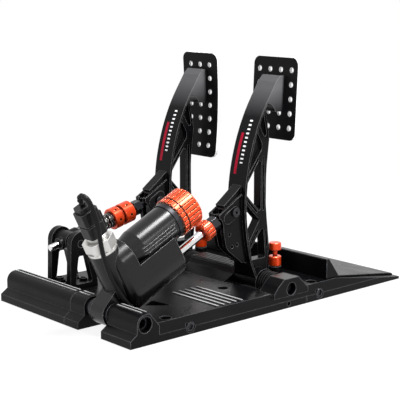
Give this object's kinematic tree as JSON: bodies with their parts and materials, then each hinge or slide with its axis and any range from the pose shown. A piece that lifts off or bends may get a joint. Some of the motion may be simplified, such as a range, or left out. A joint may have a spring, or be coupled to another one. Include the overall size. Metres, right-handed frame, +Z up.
{
  "type": "sim racing pedal set",
  "caption": "Two-pedal driving simulator set on a low wedge base, with a hydraulic-style brake cylinder and pressure sensor, and a spring-loaded throttle strut.",
  "frame": {"origin": "on the base's underside, in the middle of its width and length", "axes": "+Y towards the nose of the car, away from the driver; +X to the driver's right; +Z up"},
  "size_m": [0.215, 0.3928, 0.2469],
  "materials": {
    "black_casting": "satin",
    "cover_strip": "satin",
    "arm_black": "satin",
    "pad_black": "matte",
    "bracket_black": "satin",
    "rubber_black": "matte",
    "cable_sheath": "satin",
    "plug_plastic": "satin",
    "cylinder_black": "gloss",
    "orange_anodised": "satin",
    "polished_steel": "polished",
    "bright_steel": "satin",
    "dark_steel": "satin",
    "bronze": "satin",
    "elastomer": "matte"
  },
  "bodies": {
    "base": {"base_plate": "black_casting", "centre_bar_cover": "black_casting", "throttle_bar_cover": "black_casting", "front_tube": "dark_steel", "tube_collars": "dark_steel", "pedal_shaft": "dark_steel", "left_dust_sleeve": "rubber_black", "inner_dust_sleeve": "rubber_black", "beam_cover": "cover_strip", "heel_rest": "black_casting", "side_screws": "dark_steel", "left_upright": "bracket_black", "right_upright": "bracket_black", "bracket_bolts": "dark_steel", "cable_grommet": "rubber_black"},
    "brake_pedal": {"brake_arm": "arm_black", "brake_pad": "pad_black", "brake_pad_screws": "dark_steel", "brake_bushes": "bronze", "brake_clevis_pin": "dark_steel"},
    "brake_unit": {"brake_body": "cylinder_black", "brake_barrel": "cylinder_black", "barrel_ring": "dark_steel", "elastomer_stack": "elastomer", "rod_seal": "rubber_black", "pressure_sensor": "bright_steel", "sensor_plug": "plug_plastic", "cable_boot": "rubber_black", "sensor_cable": "cable_sheath"},
    "brake_rod": {"push_rod": "polished_steel", "brake_rod_end": "dark_steel", "brake_rod_nut": "dark_steel"},
    "load_adjuster": {"load_knob": "orange_anodised"},
    "rod_adjuster": {"travel_knob": "orange_anodised"},
    "throttle_pedal": {"throttle_arm": "arm_black", "throttle_pad": "pad_black", "throttle_pad_screws": "dark_steel", "throttle_bushes": "bronze", "throttle_clevis_pin": "dark_steel"},
    "spring_pivot": {"strut_trunnion": "bracket_black", "return_spring": "bright_steel"},
    "throttle_rod": {"strut_rod": "polished_steel", "throttle_rod_end": "dark_steel", "throttle_rod_nut": "dark_steel"},
    "lock_ring": {"lock_collar": "orange_anodised"},
    "preload_ring": {"preload_collar": "orange_anodised"},
    "brake_stop_screw": {"brake_stop": "orange_anodised"},
    "brake_lock_ring": {"brake_stop_lock": "orange_anodised"},
    "throttle_stop_screw": {"throttle_stop": "orange_anodised"},
    "throttle_lock_ring": {"throttle_stop_lock": "orange_anodised"}
  },
  "joints": [
    {"name": "brake_swing", "type": "hinge", "parent": "base", "child": "brake_pedal", "pos_m": [-0.0505, -0.02, 0.018], "axis": [-1, 0, 0], "range_deg": [0, 6], "stiffness_Nm_per_rad": 60, "springref_deg": -1.72},
    {"name": "brake_unit_tilt", "type": "hinge", "parent": "base", "child": "brake_unit", "pos_m": [-0.0505, 0.171, 0.0197], "axis": [1, 0, 0], "range_deg": [0, 0.0955]},
    {"name": "brake_rod_slide", "type": "slide", "parent": "brake_unit", "child": "brake_rod", "axis": [0, 0.9006, -0.4346], "range_m": [0, 0.00886]},
    {"name": "load_knob_turn", "type": "hinge", "parent": "brake_unit", "child": "load_adjuster", "pos_m": [-0.0505, 0.08238, 0.10222], "axis": [0, 0.9006, -0.4346], "continuous": true},
    {"name": "travel_knob_turn", "type": "hinge", "parent": "brake_rod", "child": "rod_adjuster", "pos_m": [-0.0505, 0.04759, 0.07926], "axis": [0, 0.9006, -0.4346], "continuous": true},
    {"name": "throttle_swing", "type": "hinge", "parent": "base", "child": "throttle_pedal", "pos_m": [0.067, -0.02, 0.018], "axis": [-1, 0, 0], "range_deg": [0, 12], "stiffness_Nm_per_rad": 6, "springref_deg": -8.59},
    {"name": "spring_pivot_tilt", "type": "hinge", "parent": "base", "child": "spring_pivot", "pos_m": [0.067, 0.132, 0.0623], "axis": [1, 0, 0], "range_deg": [0, 2.97]},
    {"name": "throttle_rod_slide", "type": "slide", "parent": "spring_pivot", "child": "throttle_rod", "axis": [0, 0.971, -0.2391], "range_m": [0, 0.0161], "deforming": ["return_spring"]},
    {"name": "lock_collar_turn", "type": "hinge", "parent": "throttle_rod", "child": "lock_ring", "pos_m": [0.067, 0.05731, 0.0807], "axis": [0, 0.971, -0.2391], "continuous": true},
    {"name": "preload_collar_turn", "type": "hinge", "parent": "throttle_rod", "child": "preload_ring", "pos_m": [0.067, 0.06993, 0.07759], "axis": [0, 0.971, -0.2391], "continuous": true},
    {"name": "brake_stop_turn", "type": "hinge", "parent": "base", "child": "brake_stop_screw", "pos_m": [-0.054, -0.0474, 0.045], "axis": [0, 0, 1], "continuous": true},
    {"name": "brake_stop_lock_turn", "type": "hinge", "parent": "base", "child": "brake_lock_ring", "pos_m": [-0.054, -0.0474, 0.034], "axis": [0, 0, 1], "continuous": true},
    {"name": "throttle_stop_turn", "type": "hinge", "parent": "base", "child": "throttle_stop_screw", "pos_m": [0.0635, -0.0474, 0.045], "axis": [0, 0, 1], "continuous": true},
    {"name": "throttle_stop_lock_turn", "type": "hinge", "parent": "base", "child": "throttle_lock_ring", "pos_m": [0.0635, -0.0474, 0.034], "axis": [0, 0, 1], "continuous": true}
  ],
  "couplings": [
    {"joint": "brake_unit_tilt", "follows": "brake_swing", "ratio": 0.015845},
    {"joint": "brake_rod_slide", "follows": "brake_swing", "m_per_rad": 0.084472},
    {"joint": "spring_pivot_tilt", "follows": "throttle_swing", "ratio": 0.24677},
    {"joint": "throttle_rod_slide", "follows": "throttle_swing", "m_per_rad": 0.076649}
  ]
}
